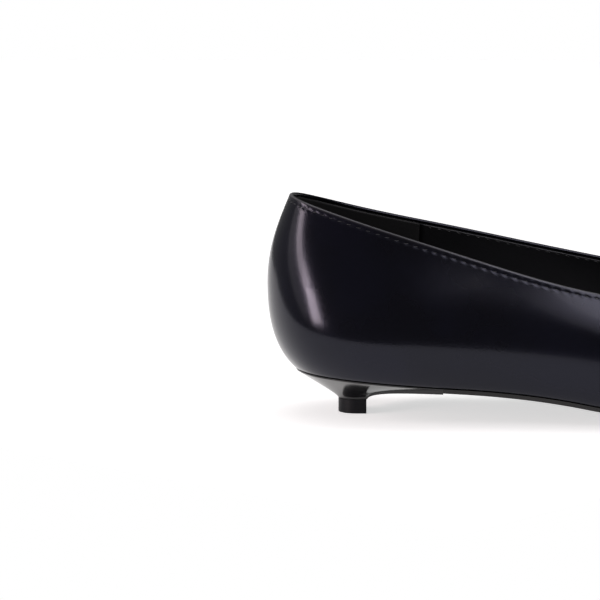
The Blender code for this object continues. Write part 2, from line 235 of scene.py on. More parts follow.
def last_lines(share):
    """The lines around the last that its wall is drawn from, at each share of the way round."""
    wide = table_loop("x", "lat", "med", "wide", "wide") * MM
    top = table_loop("top_x", "top_lat", "top_med", "rim_lat", "rim_med") * MM
    form = np.stack([around(column(c), column(c)) for c in ("tuck", "lean", "reach", "rise")], axis=1)
    chord = np.linalg.norm(np.diff(np.vstack([wide, wide[:1]])[:, :2], axis=0), axis=1)
    knots = np.concatenate([[0], np.cumsum(chord)])
    ahead = closed_spline(knots, flat(wide), (share + NEARBY) % 1 * knots[-1])
    behind = closed_spline(knots, flat(wide), (share - NEARBY) % 1 * knots[-1])
    along = unit(ahead - behind)
    inward = np.stack([-along[:, 1], along[:, 0], 0 * share], axis=1)
    lines = closed_spline(knots, np.hstack([wide, top, form]), share * knots[-1])
    wide, top = lines[:, 0:3], lines[:, 3:6]
    tuck, lean, reach, rise = lines[:, 6:].T
    feather = flat(wide) + inward * tuck[:, None] * MM
    feather[:, 2] = bottom(feather[:, 0])
    return wide, top, feather, inward, np.radians(lean), reach * MM, rise * MM


def low_handles(wide, feather, inward):
    """The two handles of the wall between feather and widest line."""
    height = (wide - feather)[:, 2:]
    back = np.exp(-(wide[:, :1] / HEEL_CURVE) ** 2)
    slope = np.radians(FEATHER_SLOPE[1] + (FEATHER_SLOPE[0] - FEATHER_SLOPE[1]) * back)
    first = feather + (UP - inward / np.tan(slope)) * height * FEATHER_HANDLE
    return first, wide - UP * height * WIDE_HANDLE


print("ball width, mm:", round(float(np.ptp(last_lines(np.linspace(0, 1, 400)[:-1])[0][:, 1])) / MM, 1))

# %% The wall's path, measured down from the topline
DENSE = 200               # samples of each of the wall's two curves


def wall_path(share):
    """Points down the outside at each share of the way round, from topline to feather."""
    wide, top, feather, inward, lean, reach, rise = last_lines(share % 1)
    first, second = low_handles(wide, feather, inward)
    low = bezier(feather, first, second, wide, np.linspace(0, 1, DENSE)[:-1])
    out = unit(flat(wide - top))
    shoulder = top + reach[:, None] * (out * np.cos(lean)[:, None] - UP * np.sin(lean)[:, None])
    high = bezier(wide, wide + UP * rise[:, None], shoulder, top, np.linspace(0, 1, DENSE))
    return np.concatenate([low, high])[::-1]


def runs(path):
    """Distance from the topline at each point of a path."""
    step = np.linalg.norm(np.diff(path, axis=0), axis=2)
    return np.vstack([np.zeros(path.shape[1]), np.cumsum(step, axis=0)])


def walk(path, down):
    """Points at distances down from the topline: rows of distances, a column for each share."""
    run = runs(path)
    made = np.empty(down.shape + (3,))
    for c in range(path.shape[1]):
        for axis in range(3):
            made[:, c, axis] = np.interp(down[:, c], run[:, c], path[:, c, axis])
    return made


print("wall at the heel back, mm:", round(float(runs(wall_path(np.zeros(1)))[-1, 0]) / MM, 1))

# %% The wall as a skin, with its normals
STEP_ACROSS = 1e-4        # share of the way round used for the skin's direction
STEP_DOWN = 0.00005


def skin(share, down):
    """Points of the wall's outside, their outward normals and the direction round the shoe."""
    path = wall_path(share)
    points = walk(path, down)
    fall = walk(path, down + STEP_DOWN) - walk(path, down - STEP_DOWN)
    across = walk(wall_path(share + STEP_ACROSS), down) - walk(wall_path(share - STEP_ACROSS), down)
    return points, unit(np.cross(fall, across)), unit(across)


def depth_to_feather(share):
    """Length of the wall from topline to feather at each share."""
    return runs(wall_path(share))[-1]


_, test_normals, _ = skin(np.array([0.0, 0.2]), np.full((1, 2), 0.02))
print("normals at the back and on the outer side:", np.round(test_normals[0], 2).tolist())

# %% [markdown]
# ## One way to make every sheet
#
# Leather, lining, sock and sole are all sheets. A grid operator makes the sheet with its faces in order,
# and each of its corners is then laid on the last. Where the grid closes on itself, doubled corners are
# merged. Distances along the leather go into a UV map, so that stitching and creases can follow the
# edge of the shoe, and not the axes of the room.

# %% Sheets and closed meshes
WELD = 1e-6


def sheet(points, outward, chart=None):
    """A grid laid over rows of points, its first face looking outward, with a chart as its UV map."""
    rows, columns = points.shape[:2]
    bm = bmesh.new()
    bmesh.ops.create_grid(bm, x_segments=columns - 1, y_segments=rows - 1, size=1)
    row = bm.verts.layers.int.new("row")
    column = bm.verts.layers.int.new("column")
    for vert in bm.verts:
        vert[row] = round((vert.co.y + 1) / 2 * (rows - 1))
        vert[column] = round((vert.co.x + 1) / 2 * (columns - 1))
        vert.co = points[vert[row], vert[column]]
    if chart is not None:
        layer = bm.loops.layers.uv.new("chart")
        for face in bm.faces:
            for loop in face.loops:
                loop[layer].uv = chart[loop.vert[row], loop.vert[column]]
    bmesh.ops.remove_doubles(bm, verts=bm.verts, dist=WELD)
    bm.normal_update()
    bm.faces.ensure_lookup_table()
    if bm.faces[0].normal.dot(Vector(outward)) < 0:
        bmesh.ops.reverse_faces(bm, faces=bm.faces)
    return bm


def face_out(bm):
    """Turn every face of a closed mesh outwards."""
    bmesh.ops.recalc_face_normals(bm, faces=bm.faces)
    if bm.calc_volume(signed=True) < 0:
        bmesh.ops.reverse_faces(bm, faces=bm.faces)


print("corners closer than this are merged, mm:", WELD / MM)

# %% Finished pieces and soft edges
SMOOTH_ANGLE = np.radians(40)


def finish_piece(name, bm, replaced=()):
    """A piece at the origin with its place in its mesh, riding on the shoe."""
    bmesh.ops.translate(bm, verts=bm.verts, vec=PLACE)
    mesh = bpy.data.meshes.new(name)
    bm.to_mesh(mesh)
    bm.free()
    mesh.shade_smooth()
    mesh.set_sharp_from_angle(angle=SMOOTH_ANGLE)
    piece = bpy.data.objects.new(name, mesh)
    scene.collection.objects.link(piece)
    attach(piece, "root")
    if replaced:
        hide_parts(*replaced)
    print(name, "faces:", len(mesh.polygons))
    return piece


def soften(piece, width, segments=3):
    """A bevel on the sharp edges of a piece, no wider than its closest corners leave room for."""
    bevel = piece.modifiers.new("soft_edges", "BEVEL")
    bevel.width = width
    bevel.segments = segments
    bevel.limit_method = "ANGLE"
    bevel.angle_limit = SMOOTH_ANGLE
    bevel.harden_normals = True


print("edges stay sharp from, degrees:", round(float(np.degrees(SMOOTH_ANGLE))))

# %% [markdown]
# ## The upper
#
# The leather is about a millimetre thick. Along the collar it is skived and folded over, which gives the
# bright rounded edge that catches the light, and at the bottom it turns in under the foot. The sheet is
# made as one closed ring: up the outside, over the fold, down the inside and back under the foot. The
# stitched row presses a shallow channel, and the closed seam at the back leaves a fine crease. Both are
# shallow moves of the surface along its own normals.

# %% Columns round the shoe
ROUND = 300
END_SHARE = 0.45          # how much closer the columns stand at heel and toe
CREASE_COLUMNS = np.array([0.18, 0.36, 0.6, 0.95, 1.5]) * MM
SEAM_ROOM = 0.002         # no other columns stand closer than this to the back seam
GIRTH_SAMPLES = 2000


def shares(count):
    """Places round the shoe, closer together at heel and toe."""
    even = np.arange(count) / count
    return even - END_SHARE * np.sin(4 * np.pi * even) / (4 * np.pi)


topline = last_lines(np.linspace(0, 1, GIRTH_SAMPLES) % 1)[1]
GIRTH = float(np.linalg.norm(np.diff(topline, axis=0), axis=1).sum())
column_shares = shares(ROUND)
to_seam = np.minimum(column_shares, 1 - column_shares) * GIRTH
column_shares = column_shares[to_seam > SEAM_ROOM]
crease = CREASE_COLUMNS / GIRTH
column_shares = np.concatenate([[0], crease, column_shares, 1 - crease[::-1]])
print("columns:", len(column_shares), "topline length, mm:", round(GIRTH / MM, 1))

# %% Rows of the leather
LEATHER = 0.00120
FOLD = LEATHER / 2        # radius of the folded edge
FOLD_STEPS = 9
STITCH_DOWN = 0.0020      # stitched row below the topline
CHANNEL_DEPTH = 0.00007
CHANNEL_WIDTH = 0.00045
CREASE_DEPTH = 0.00022
CREASE_WIDTH = 0.00028
EDGE_ROWS = MM * np.array([0.6, 0.8, 1.05, 1.3, 1.55, 1.75, 1.9, 2.0, 2.1, 2.25, 2.45, 2.7, 3.0, 3.5, 4.2,
                           5.2, 6.5])
EDGE_END = 0.008
WALL_ROWS = 46
FEATHER_ROUND = 0.0006    # radius of the turn under the foot
MARGIN = 0.009
MARGIN_ROWS = 4
SPINE = (0.034, 0.222)
SPINE_TURN_START = 0.120
SPINE_TURN = 0.008

print("leather, mm:", LEATHER / MM, "thick, turned in by", MARGIN / MM)

# %% Rows down the wall, the margin and the outside
def wall_rows(share, count):
    """Distances down the wall for each column: close together at the edge, then evenly to the feather."""
    length = depth_to_feather(share) - FEATHER_ROUND
    lower = EDGE_END + (length - EDGE_END) * np.linspace(0, 1, count)[:, None]
    return np.vstack([np.repeat(EDGE_ROWS[:, None], len(share), axis=1), lower])


def margin(share, start, thickness):
    """Rows of the turned-in margin, from start outwards in to its edge."""
    _, _, feather, *_ = last_lines(share)
    spine = np.clip(feather[:, 0], *SPINE)
    turn = np.clip((spine - SPINE_TURN_START) / (SPINE[1] - SPINE_TURN_START), 0, 1)
    middle = np.stack([spine, SPINE_TURN * turn, 0 * spine], axis=1)
    towards = unit(middle - flat(feather))
    rows = feather + towards * (start + (MARGIN - start) * np.linspace(0, 1, MARGIN_ROWS)[:, None, None])
    rows[..., 2] = bottom(rows[..., 0]) + thickness
    return rows


def outside(share):
    """The outside of the leather from the fold's start to the feather, and how far down each row is."""
    down = wall_rows(share, WALL_ROWS)
    points, normals, _ = skin(share, down)
    channel = CHANNEL_DEPTH * np.exp(-((down - STITCH_DOWN) / CHANNEL_WIDTH) ** 2)
    behind = np.where(share < 0.5, share, 1 - share) * GIRTH
    seam = CREASE_DEPTH * np.exp(-(behind / CREASE_WIDTH) ** 2)
    return points - normals * (channel + seam)[..., None], down


wall, wall_down = outside(column_shares)
print("rows down the wall:", len(wall), "longest column, mm:", round(float(wall_down.max()) / MM, 1))

# %% The leather as one closed ring
INNER_ROWS = 30


def fold_over(share):
    """Rows of the rounded fold, from outside to inside."""
    base, normal, across = skin(share, np.full((1, len(share)), FOLD))
    rise = np.cross(across, normal)
    rise = rise * np.sign(rise[..., 2:])
    centre = base - normal * FOLD
    angle = np.linspace(0, np.pi, FOLD_STEPS)[1:-1, None, None]
    return centre + FOLD * (normal * np.cos(angle) + rise * np.sin(angle))


inner_down = wall_rows(column_shares, INNER_ROWS)
inner, inner_normals, _ = skin(column_shares, inner_down)
inner = inner - inner_normals * LEATHER
under = margin(column_shares, FEATHER_ROUND, 0)
turn = (wall[-1:] + under[:1]) / 4 + last_lines(column_shares)[2] / 2
inner_under = margin(column_shares, LEATHER, LEATHER)
fold = fold_over(column_shares)
ring = np.concatenate([under[::-1], turn, wall[::-1], fold, inner, inner_under, under[-1:]])
ring = np.concatenate([ring, ring[:, :1]], axis=1)
print("rows round the leather:", len(ring))

# %% Lay the leather
OFF_CHART = 1.0           # chart value of the margin, far from the edge and its stitches

along = np.append(column_shares, 1) * GIRTH
row_down = np.concatenate([
    wall_down[::-1], np.linspace(0, -np.pi, FOLD_STEPS)[1:-1, None] * FOLD * np.ones(len(column_shares)),
    -np.pi * FOLD - inner_down])
lead = len(under) + 1
row_down = np.vstack([np.full((lead, len(column_shares)), OFF_CHART), row_down])
row_down = np.vstack([row_down, np.full((len(ring) - len(row_down), len(column_shares)), -OFF_CHART)])
row_down = np.concatenate([row_down, row_down[:, :1]], axis=1)
leather_chart = np.stack([np.broadcast_to(along, row_down.shape), row_down], axis=2)
leather_mesh = sheet(ring, (0, 0, -1), leather_chart)
face_out(leather_mesh)
upper_leather = finish_piece("upper_leather", leather_mesh, ["upper"])

# %% [markdown]
# ## The linings
#
# Inside, the shoe is lined with thin leather. Round the heel a thicker grip takes its place, whose front
# edge makes the upright seam that shows through the collar. Both are cut away a little below the fold.
# They are open sheets on the inner side of the wall, and a Solidify modifier gives them their thickness.

# %% Linings
LINING_TOP = 0.0013       # cut edge below the topline
LINING_REACH = 0.0004     # how far above the feather the lining stops
QUARTER_THICK = 0.00050
GRIP_THICK = 0.00066
GRIP_FRONT = 0.0513       # where the heel grip ends, from the back of the heel
LINING_CLEAR = 0.00002    # between leather and lining
LINING_EASE = 1.3         # rows of the lining stand closer together at its upper edge
LOOK_UP = 800             # points of the topline that share_at reads
GRIP_COLUMNS = 90
QUARTER_COLUMNS = 200
LINING_ROWS = 40


def share_at(x, inner_side):
    """Share of the way round at which the topline passes x on one side."""
    share = np.linspace(0, 0.5, LOOK_UP)
    share = 1 - share if inner_side else share
    top = last_lines(share % 1)[1]
    return float(np.interp(x, top[:, 0], share))


def lining(name, first, last, columns, thick):
    """An open sheet inside the wall between two shares, its thickness added towards the foot."""
    share = np.linspace(first, last, columns)
    reach = depth_to_feather(share) - LINING_REACH
    down = LINING_TOP + (reach - LINING_TOP) * np.linspace(0, 1, LINING_ROWS)[:, None] ** LINING_EASE
    points, normals, _ = skin(share, down)
    chart = np.stack([np.broadcast_to(share * GIRTH, down.shape), down], axis=2)
    bm = sheet(points - normals * (LEATHER + LINING_CLEAR), normals[0, 0], chart)
    piece = finish_piece(name, bm)
    solid = piece.modifiers.new("thickness", "SOLIDIFY")
    solid.thickness = thick
    solid.offset = -1
    return piece


grip_outer = share_at(GRIP_FRONT, False)
grip_inner = share_at(GRIP_FRONT, True)
heel_grip = lining("heel_grip", grip_inner - 1, grip_outer, GRIP_COLUMNS, GRIP_THICK)
quarter_lining = lining("quarter_lining", grip_outer, grip_inner, QUARTER_COLUMNS, QUARTER_THICK)

# %% [markdown]
# ## The stitching
#
# A row of fine thread holds fold and lining together, two millimetres under the edge. Outside it runs all
# round the collar, and inside it shows from the heel grip forwards. One small rounded stitch is made and
# then copied along the row, each copy turned to lie on the leather and tilted a little, as lockstitch is.

# %% Stitches
STITCH_PITCH = 0.00235
STITCH_LENGTH = 0.00165
THREAD = 0.00025
STITCH_TILT = np.radians(11)
TILT_RANGE = (0.4, 1.6)
LENGTH_RANGE = (0.82, 1.08)
STITCH_SINK = 0.42        # share of the thread that lies in the leather
STITCH_START = 0.004      # inner row's start past the grip, as a share of the way round
UNEVEN = np.random.default_rng(7)


def stitch_row(name, first, last, inside):
    """Stitches between two shares on the outside or the inside of the collar."""
    count = int((last - first) * GIRTH / STITCH_PITCH)
    share = first + (last - first) * (np.arange(count) + 0.5) / count
    points, normals, across = skin(share, np.full((1, count), STITCH_DOWN))
    side = -1 if inside else 1
    depth = LEATHER + QUARTER_THICK + LINING_CLEAR if inside else CHANNEL_DEPTH
    lift = THREAD * (0.5 - STITCH_SINK) * side
    bm = bmesh.new()
    tilts = STITCH_TILT * UNEVEN.uniform(*TILT_RANGE, count)
    lengths = STITCH_LENGTH * UNEVEN.uniform(*LENGTH_RANGE, count)
    for point, normal, way, tilt, length in zip(points[0], normals[0], across[0], tilts, lengths):
        out = Vector(normal)
        long = Matrix.Rotation(tilt, 3, out) @ Vector(way)
        turned = Matrix((long, out.cross(long), out)).transposed().to_4x4()
        centre = Vector(point - normal * depth) + out * lift
        size = Matrix.Diagonal((length / 2, THREAD / 2, THREAD / 2, 1))
        bmesh.ops.create_uvsphere(bm, u_segments=8, v_segments=6, radius=1,
                                  matrix=Matrix.Translation(centre) @ turned @ size)
    return finish_piece(name, bm)


topline_stitches = stitch_row("topline_stitches", 0.0, 1.0, False)
lining_stitches = stitch_row("lining_stitches", grip_outer + STITCH_START, grip_inner - STITCH_START, True)

# %% [markdown]
# ## The sock
#
# The sock covers the insole from heel to toe and reaches the lining all round, so its edge has to follow
# the inside of the wall at its own height. Two outlines are read off the wall, one for its top and a
# narrower one for its underside. A grid laid over the top is extruded down to the lower outline.

# %% The sock
SOCK_TOP = 0.0042         # above the underside of the last
SOCK_FOOT = 0.0022
SOCK_CLEAR = 0.00012
SOCK_BLUNT = 0.0012
SOCK_STATIONS = 150
SOCK_ACROSS = 21
OUTLINE_POINTS = 1440
LEVEL_ROWS = 120          # points up the wall that its inside is read from
LOWER_WALL = 0.35         # where they start, as a share of the way down the wall
SOCK_EDGE = 0.0003


def outline_sides(loop):
    """Where a loop of points starts and ends along x, and a function that gives both its sides at x."""
    tip = int(np.argmax(loop[:, 0]))
    lateral, medial = loop[:tip + 1], np.vstack([loop[tip:], loop[:1]])[::-1]

    def sides(x):
        return np.interp(x, *lateral.T[:2]), np.interp(x, *medial.T[:2])
    return loop[0, 0], loop[tip, 0], sides


def inside_outline(level):
    """Outline of the inside of the lined wall at a height above the underside of the last."""
    share = np.arange(OUTLINE_POINTS) / OUTLINE_POINTS
    length = depth_to_feather(share)
    down = length * np.linspace(LOWER_WALL, 1, LEVEL_ROWS)[:, None]
    points, normals, _ = skin(share, down)
    inner = points - normals * (LEATHER + GRIP_THICK + SOCK_CLEAR)
    above = inner[..., 2] - bottom(inner[..., 0])
    loop = np.empty((OUTLINE_POINTS, 3))
    for c in range(OUTLINE_POINTS):
        order = np.argsort(above[:, c])
        for axis in range(3):
            loop[c, axis] = np.interp(level, above[order, c], inner[order, c, axis])
    return outline_sides(loop)


print("face of the sock, mm above the last's underside:", SOCK_TOP / MM)

# %% Plates between two outlines, and the sock as one of them
def plate_points(x, sides, height, across):
    """Rows of points across the shoe at each x, from its outer side to its inner side."""
    lateral, medial = sides(x)
    y = lateral[:, None] + (medial - lateral)[:, None] * np.linspace(0, 1, across)
    return np.stack([np.broadcast_to(x[:, None], y.shape), y,
                     np.broadcast_to(height(x)[:, None], y.shape)], axis=2)


def plate(name, upper_face, lower_face, replaced):
    """A plate between two grids of points that have the same rows."""
    bm = sheet(upper_face, (0, 0, 1))
    row, column = bm.verts.layers.int["row"], bm.verts.layers.int["column"]
    grown = bmesh.ops.extrude_face_region(bm, geom=bm.faces, use_keep_orig=True)["geom"]
    for vert in [item for item in grown if isinstance(item, bmesh.types.BMVert)]:
        vert.co = lower_face[vert[row], vert[column]]
    face_out(bm)
    return finish_piece(name, bm, replaced)


def sock_face(level):
    """Points of the sock's face at one level."""
    start, end, sides = inside_outline(level)
    turn = np.linspace(0, np.pi, SOCK_STATIONS)
    x = start + (end - SOCK_BLUNT - start) * (1 - np.cos(turn)) / 2
    return plate_points(x, sides, lambda at: bottom(at) + level, SOCK_ACROSS)


insole_sock = plate("insole_sock", sock_face(SOCK_TOP), sock_face(SOCK_FOOT), ["insole"])
soften(insole_sock, SOCK_EDGE)

# %% [markdown]
# ## The outsole
#
# A dress sole is a thin sheet of leather, a little narrower than the feather line, with its edge trimmed
# square and its corners broken by hand. It runs from the front of the heel seat to the toe and touches
# the floor only under the tread, which is why the toe springs. The corners of the mesh crowd at the toe,
# and that holds the bevel back to almost nothing, so the model's edges are sharp.

# %% The outsole
TREAD = (0.160, 0.184)
SOLE_THICK = 0.0014
SOLE_INSET = 0.0004
GAP = 0.0003
HEEL_FRONT = 0.0580
BUTT = 0.00003            # the sole butts against the heel's breast
WAIST_STATIONS = 60
TOE_STATIONS = 70
SOLE_ACROSS = 17
SOLE_EDGE = 0.0003


def sole_outline():
    """Outline of the sole and of the heel seat, just inside the feather line."""
    wide, _, feather, inward, *_ = last_lines(np.arange(OUTLINE_POINTS) / OUTLINE_POINTS)
    inset = np.linalg.norm(flat(wide - feather), axis=1) + SOLE_INSET
    return outline_sides(flat(wide) + inward * inset[:, None])


def under_last(x):
    """Upper face of the outsole and of the heel seat."""
    return bottom(x) - GAP


sole_start, sole_end, sole_sides = sole_outline()
waist_x = np.linspace(HEEL_FRONT + BUTT, TREAD[0], WAIST_STATIONS)
toe_x = TREAD[1] + (sole_end - TREAD[1]) * np.sin(np.linspace(0, np.pi / 2, TOE_STATIONS))
sole_top = plate_points(np.concatenate([waist_x, toe_x]), sole_sides, under_last, SOLE_ACROSS)
outsole = plate("outsole_leather", sole_top, sole_top - SOLE_THICK * UP, ["outsole"])
soften(outsole, SOLE_EDGE)

# %% [markdown]
# ## The heel
#
# The kitten heel is moulded, lacquered and screwed on under the seat. All round its seat a cove sweeps in
# to a small stem, and at the front the breast is flat. The seat's edge loop is extruded down step by step,
# and each corner of the loop follows its own curve from seat to stem, which gives one clean surface for
# the lacquer to shine on.

# %% The heel
TOP_PIECE = 0.0046        # height of the top piece
HEEL_RIM = 0.0004         # thin edge of the heel seat at the back
BREAST_LIP = 0.0014       # depth of the seat edge at the heel's front end
STEM_BACK = 0.0235
STEM_FRONT = 0.0333
STEM_HALF = 0.0061
HEEL_STATIONS = 60
HEEL_ROWS = 30
HEEL_ACROSS = 13

# How the heel's cove runs from seat edge to stem: first handle's share of the run and its drop,
# height of the second handle, each at the heel back and at the breast corner.
COVE_SHARE = 0.42
COVE_DROP = (0.0040, 0.0004)
COVE_FOOT = (0.0060, 0.0086)
COVE_HUG = 0.0042         # outward bow of the breast corner's line in plan
COVE_FLARE = 0.03         # share of the run by which the stem's top flares
LIP_WIDTH = 0.0004        # plan width of the breast lip's corner
LIP_SHARE = 0.03          # the same, as a share of the stem's half outline
LIP_AT_FOOT = 0.7         # share of the lip's depth left at the second handle
STEM_STRAIGHT = 0.30      # share of the stem's half outline that is straight

print("stem, mm:", round((STEM_FRONT - STEM_BACK) / MM, 1), "long and", round(2 * STEM_HALF / MM, 1), "wide")

# %% Stem, cove and seat
def stem_point(share):
    """Half outline of the stem in plan, from the middle of its back (0) to its breast corner (1)."""
    turn = np.clip(share / (1 - STEM_STRAIGHT), 0, 1) * np.pi / 2
    ahead = np.clip((share - 1 + STEM_STRAIGHT) / STEM_STRAIGHT, 0, 1)
    round_end = STEM_BACK + STEM_HALF
    x = round_end - STEM_HALF * np.cos(turn) + (STEM_FRONT - round_end) * ahead
    return x, STEM_HALF * np.sin(turn)


def cove(seat, share, side, is_breast):
    """The heel's outside below one point of its seat edge: points from seat to stem."""
    stem_x, stem_y = stem_point(share)
    stem = np.array([stem_x, stem_y * side, TOP_PIECE + GAP])
    lip = BREAST_LIP if is_breast else 0
    edge = seat - (0, 0, HEEL_RIM + lip)
    first = edge + (stem - edge) * COVE_SHARE
    first[1] += side * COVE_HUG * share ** 3
    first[2] = edge[2] - COVE_DROP[0] - (COVE_DROP[1] - COVE_DROP[0]) * share ** 2
    second = stem + (edge - stem) * COVE_FLARE
    second[2] = COVE_FOOT[0] + (COVE_FOOT[1] - COVE_FOOT[0]) * share ** 2 - lip * LIP_AT_FOOT
    return bezier(edge, first, second, stem, np.linspace(0, 1, HEEL_ROWS))[:, 0]


def seat_stations(start):
    """Places along the heel seat, close together at its round back and at its breast corners."""
    turn = np.linspace(0, np.pi / 2, HEEL_STATIONS - 1)
    return np.append(start + (HEEL_FRONT - LIP_WIDTH - start) * (1 - np.cos(turn)), HEEL_FRONT)


print("breast corner of the stem, mm:", [round(float(v) / MM, 1) for v in stem_point(1.0)])

# %% Grow the heel down from its seat
def make_heel():
    """The heel block: its seat, a cove all round down to the stem, and a breast with a lip."""
    x = seat_stations(sole_start)
    seat = plate_points(x, sole_sides, under_last, HEEL_ACROSS)
    step = np.linalg.norm(np.diff(seat[:, 0], axis=0), axis=1)
    share = np.append(0, np.cumsum(step)) / step.sum() * (1 - LIP_SHARE)
    share[-1] = 1
    bm = sheet(seat, (0, 0, 1))
    ring = {}
    for vert in [vert for vert in bm.verts if vert.is_boundary]:
        i = int(np.argmin(abs(x - vert.co.x)))
        outer, inner = seat[i, 0, 1], seat[i, -1, 1]
        side = 2 * (vert.co.y - outer) / (inner - outer) - 1 if i else 0
        ring[vert] = cove(np.array(vert.co), share[i], side, i == len(x) - 1)
    for row in range(HEEL_ROWS):
        edges = [edge for edge in bm.edges if edge.is_boundary]
        made = set(bmesh.ops.extrude_edge_only(bm, edges=edges)["geom"])
        below = {}
        for vert, line in ring.items():
            grown = next(edge.other_vert(vert) for edge in vert.link_edges if edge.other_vert(vert) in made)
            grown.co = line[row]
            below[grown] = line
        ring = below
    bmesh.ops.edgeloop_fill(bm, edges=[edge for edge in bm.edges if edge.is_boundary])
    face_out(bm)
    return finish_piece("heel_lacquer", bm, ["heel"])


heel_lacquer = make_heel()

# %% [markdown]
# ## The top piece
#
# The top piece is the hard rubber lift that meets the floor. It is a flat D, pinned under the stem and a
# shade smaller. A plate is all that it needs. Its bevel is held back in the same way as the sole's.

# %% The top piece
TOP_PIECE_INSET = 0.00025
TOP_PIECE_EDGE = 0.0003
TOP_STATIONS = 30
TOP_ACROSS = 13

top_half = STEM_HALF - TOP_PIECE_INSET
top_round_end = STEM_BACK + STEM_HALF


def top_sides(x):
    """Both sides of the D at x."""
    width = top_half * np.sin(np.arccos(np.clip((top_round_end - x) / top_half, 0, 1)))
    return -width, width


top_x = top_round_end - top_half * np.cos(np.linspace(0, np.pi / 2, TOP_STATIONS))
top_x = np.append(top_x, STEM_FRONT - TOP_PIECE_INSET)
top_face = plate_points(top_x, top_sides, lambda at: np.full(at.shape, TOP_PIECE), TOP_ACROSS)
top_piece = plate("top_piece_rubber", top_face, top_face - TOP_PIECE * UP, ["top_piece"])
soften(top_piece, TOP_PIECE_EDGE)

# %% [markdown]
# ## Writing shaders as sums
#
# Every finish here is worked out from position or from the leather's own chart, so it stays on the piece
# from any side. Node graphs are long to write by hand, so one small class wraps a socket and lets it be
# added, multiplied and compared as a number would be.

# %% A socket that can be used in sums
class Wire:
    """A node's output that takes part in sums."""

    def __init__(self, tree, socket):
        self.tree = tree
        self.socket = socket

    def node(self, kind, settings=None, values=None, output=0):
        """A new node in the same tree, its settings made first, then its sockets."""
        return make_node(self.tree, kind, settings, values, output)

    def sum(self, operation, first, second=0.0):
        return self.node("ShaderNodeMath", {"operation": operation}, {0: first, 1: second})

    def __add__(self, other):
        return self.sum("ADD", self, other)

    __radd__ = __add__

    def __mul__(self, other):
        return self.sum("MULTIPLY", self, other)

    __rmul__ = __mul__

    def __sub__(self, other):
        return self.sum("SUBTRACT", self, other)

    def __rsub__(self, other):
        return self.sum("SUBTRACT", other, self)

    def __truediv__(self, other):
        return self.sum("DIVIDE", self, other)

    def between(self, low, high, start=0.0, end=1.0):
        """Smooth ramp from start at low to end at high."""
        settings = {"interpolation_type": "SMOOTHSTEP"}
        values = {"Value": self, "From Min": low, "From Max": high, "To Min": start, "To Max": end}
        return self.node("ShaderNodeMapRange", settings, values)

    def bell(self, centre, width):
        """1 at centre, falling away over width."""
        away = (self - centre) / width
        return self.sum("EXPONENT", away * away * -1.0)


print("what a wire can do:", [name for name in vars(Wire) if not name.startswith("__")])

# %% Nodes and colours
def make_node(tree, kind, settings=None, values=None, output=0):
    """Any node: its settings are made first, then its sockets get values or links."""
    made = tree.nodes.new(kind)
    for name, value in (settings or {}).items():
        setattr(made, name, value)
    for key, value in (values or {}).items():
        if isinstance(value, Wire):
            tree.links.new(value.socket, made.inputs[key])
        else:
            made.inputs[key].default_value = value
    return Wire(tree, made.outputs[output])


def mix_colour(factor, first, second):
    """A colour between two colours."""
    return factor.node("ShaderNodeMix", {"data_type": "RGBA"}, {0: factor, 6: first, 7: second}, 2)


# %% A finish: a Principled shader with its fixed values set on its own sockets
def finish(name, fixed):
    """A material with fixed socket values. Returns it with its object coordinates."""
    material = bpy.data.materials.new(name)
    material.use_nodes = True
    shader = material.node_tree.nodes["Principled BSDF"]
    for socket, value in fixed.items():
        shader.inputs[socket].default_value = value
    return material, make_node(material.node_tree, "ShaderNodeTexCoord", output=3)


def feed(material, **wires):
    """Links wires to the shader's sockets, named with _ for a space."""
    shader = material.node_tree.nodes["Principled BSDF"]
    for name, wire in wires.items():
        material.node_tree.links.new(wire.socket, shader.inputs[name.replace("_", " ")])


# %% Patterns, relief and the leather's chart
def noise(at, scale, detail=2.0):
    """Soft noise around 0.5, scale in spots a metre."""
    return at.node("ShaderNodeTexNoise", None, {"Vector": at, "Scale": scale, "Detail": detail})


def cells(at, scale):
    """Distance to the middle of the nearest of many small cells."""
    return at.node("ShaderNodeTexVoronoi", {"feature": "F1"}, {"Vector": at, "Scale": scale})


def bump(height, distance, strength=1.0):
    """Raised relief for the Normal socket. height runs from 0 to 1 over distance, in metres."""
    return height.node("ShaderNodeBump", None, {"Height": height, "Distance": distance, "Strength": strength})


def chart_of(at):
    """The leather's chart: distance along the topline and down from it."""
    chart = at.node("ShaderNodeUVMap", {"uv_map": "chart"})
    return [chart.node("ShaderNodeSeparateXYZ", None, {0: chart}, axis) for axis in (0, 1)]


# %% [markdown]
# ## Polished leather
#
# The upper is a brush-off calf: almost black, with a cast of navy that comes and goes, and polished until it
# mirrors the table. A mirror alone would look like plastic. Under the gloss there is a grain finer than
# half a millimetre, which frays the edges of each highlight, and a slow unevenness in the polish. Close to
# the collar each stitch pulls the leather in a little, so the row glints.

# %% Upper leather
BLACK_CALF = (0.0050, 0.0052, 0.0078, 1)
NAVY_CALF = (0.0055, 0.0058, 0.0100, 1)
FOLD_HIGHLIGHT_GREY = (0.0700, 0.0690, 0.0760, 1)
GRAIN = 2300.0            # cells of grain a metre
FOLD_HIGHLIGHT_SPREAD = 0.0007        # painted highlight: the calf is painted light grey this far to both sides of the fold's crown
PUCKER_WIDTH = 0.0007     # how far from the row the stitches pull at the leather

